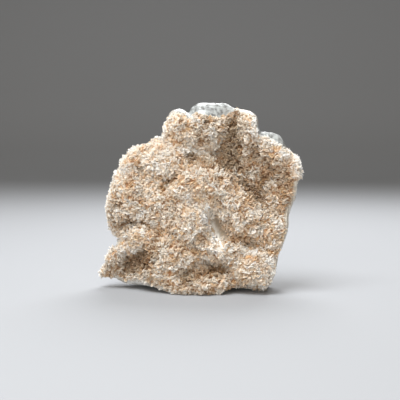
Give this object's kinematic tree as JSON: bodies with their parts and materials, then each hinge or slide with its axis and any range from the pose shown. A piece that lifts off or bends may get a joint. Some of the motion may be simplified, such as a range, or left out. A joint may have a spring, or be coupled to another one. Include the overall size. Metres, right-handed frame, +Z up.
{
  "type": "mineral specimen",
  "caption": "Hand specimen of stilbite on chalcedony: a lobed plate crusted with peach-cream blades over its front, standing on its flat broken base.",
  "frame": {"origin": "centre of the bounding box at the base, on the surface that the specimen stands on", "axes": "+X to the right across the crystal face, +Y away from the viewer towards the bare back, +Z up"},
  "size_m": [0.125, 0.043, 0.1142],
  "materials": {
    "chalcedony": "smooth waxy grey-white chalcedony, dull where broken",
    "stilbite": "pearly peach-cream crystal blades, whiter at their tips and browner at their roots"
  },
  "bodies": {
    "root": {"chalcedony_matrix": "chalcedony", "stilbite_crust": "stilbite"}
  },
  "joints": []
}
